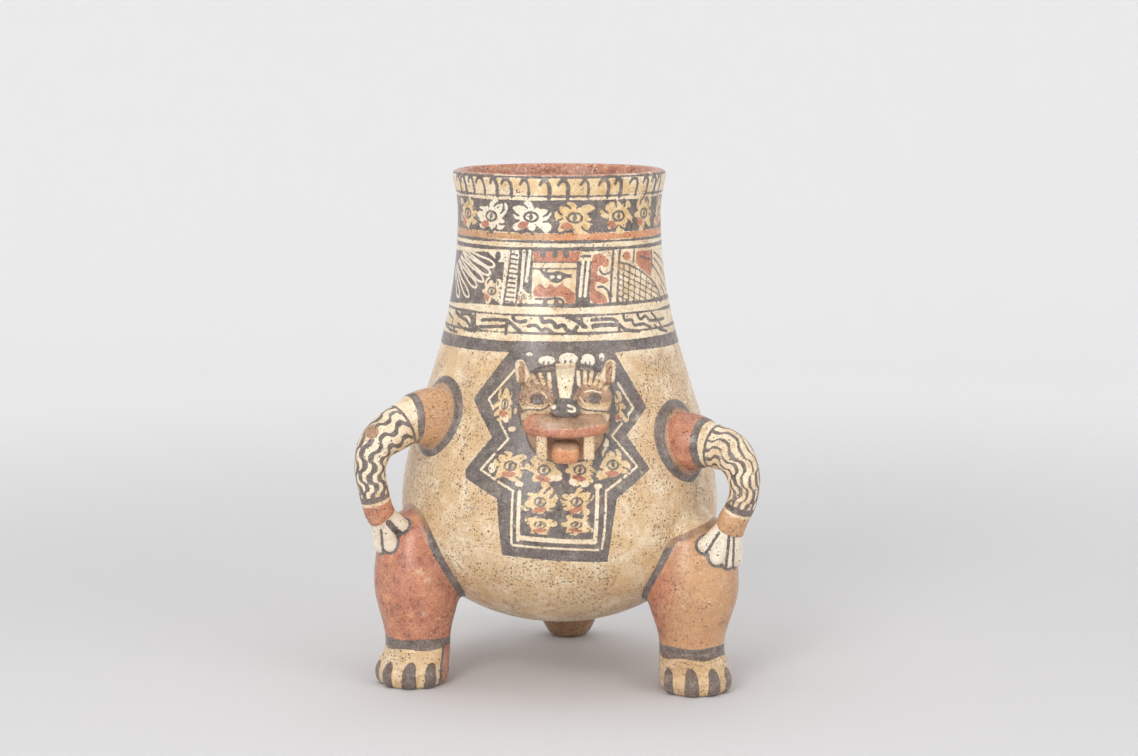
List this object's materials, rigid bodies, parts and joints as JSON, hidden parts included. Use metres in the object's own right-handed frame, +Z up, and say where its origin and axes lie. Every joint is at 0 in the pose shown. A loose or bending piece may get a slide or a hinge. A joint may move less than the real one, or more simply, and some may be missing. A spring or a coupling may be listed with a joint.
{
  "type": "tripod pot",
  "caption": "Painted clay jar shaped as a seated feline: pear-shaped body with wide neck, bent arms resting on stout hollow legs, snarling head in relief and a stub tail as rear support.",
  "frame": {"origin": "on the vessel's upright axis, in the plane that the two feet and the tail stand on", "axes": "+Z up along the vessel's axis, -Y towards the face, +X to the right as seen from the front"},
  "size_m": [0.258, 0.248, 0.33],
  "materials": {
    "cream_slip": "satin burnished slip",
    "red_slip": "satin burnished slip",
    "black_slip": "satin burnished slip",
    "brown_clay": "matt fired clay"
  },
  "bodies": {
    "pot": {"base_bowl": "cream_slip", "belly_wall": "cream_slip", "neck_wall": "cream_slip", "lip_coil": "red_slip", "head_shell": "cream_slip", "muzzle": "red_slip", "nose_pad": "black_slip", "lower_jaw": "brown_clay", "tongue": "red_slip", "eye_left": "brown_clay", "ear_left": "cream_slip", "fang_left": "cream_slip", "eye_right": "brown_clay", "ear_right": "cream_slip", "fang_right": "cream_slip", "tail_support": "cream_slip", "thigh_left": "red_slip", "foot_left": "cream_slip", "shoulder_collar_left": "black_slip", "shoulder_boss_left": "red_slip", "forearm_left": "cream_slip", "paw_left": "cream_slip", "thigh_right": "red_slip", "foot_right": "cream_slip", "shoulder_collar_right": "black_slip", "shoulder_boss_right": "red_slip", "forearm_right": "cream_slip", "paw_right": "cream_slip"},
    "pellet_left": {"rattle_pellet_left": "brown_clay"},
    "pellet_right": {"rattle_pellet_right": "brown_clay"},
    "pellet_tail": {"rattle_pellet_tail": "brown_clay"}
  },
  "joints": [
    {"name": "left_rattle", "type": "slide", "parent": "pot", "child": "pellet_left", "axis": [0, 0, 1], "range_m": [0, 0.034]},
    {"name": "right_rattle", "type": "slide", "parent": "pot", "child": "pellet_right", "axis": [0, 0, 1], "range_m": [0, 0.034]},
    {"name": "tail_rattle", "type": "slide", "parent": "pot", "child": "pellet_tail", "axis": [0, 0, 1], "range_m": [0, 0.034]}
  ]
}
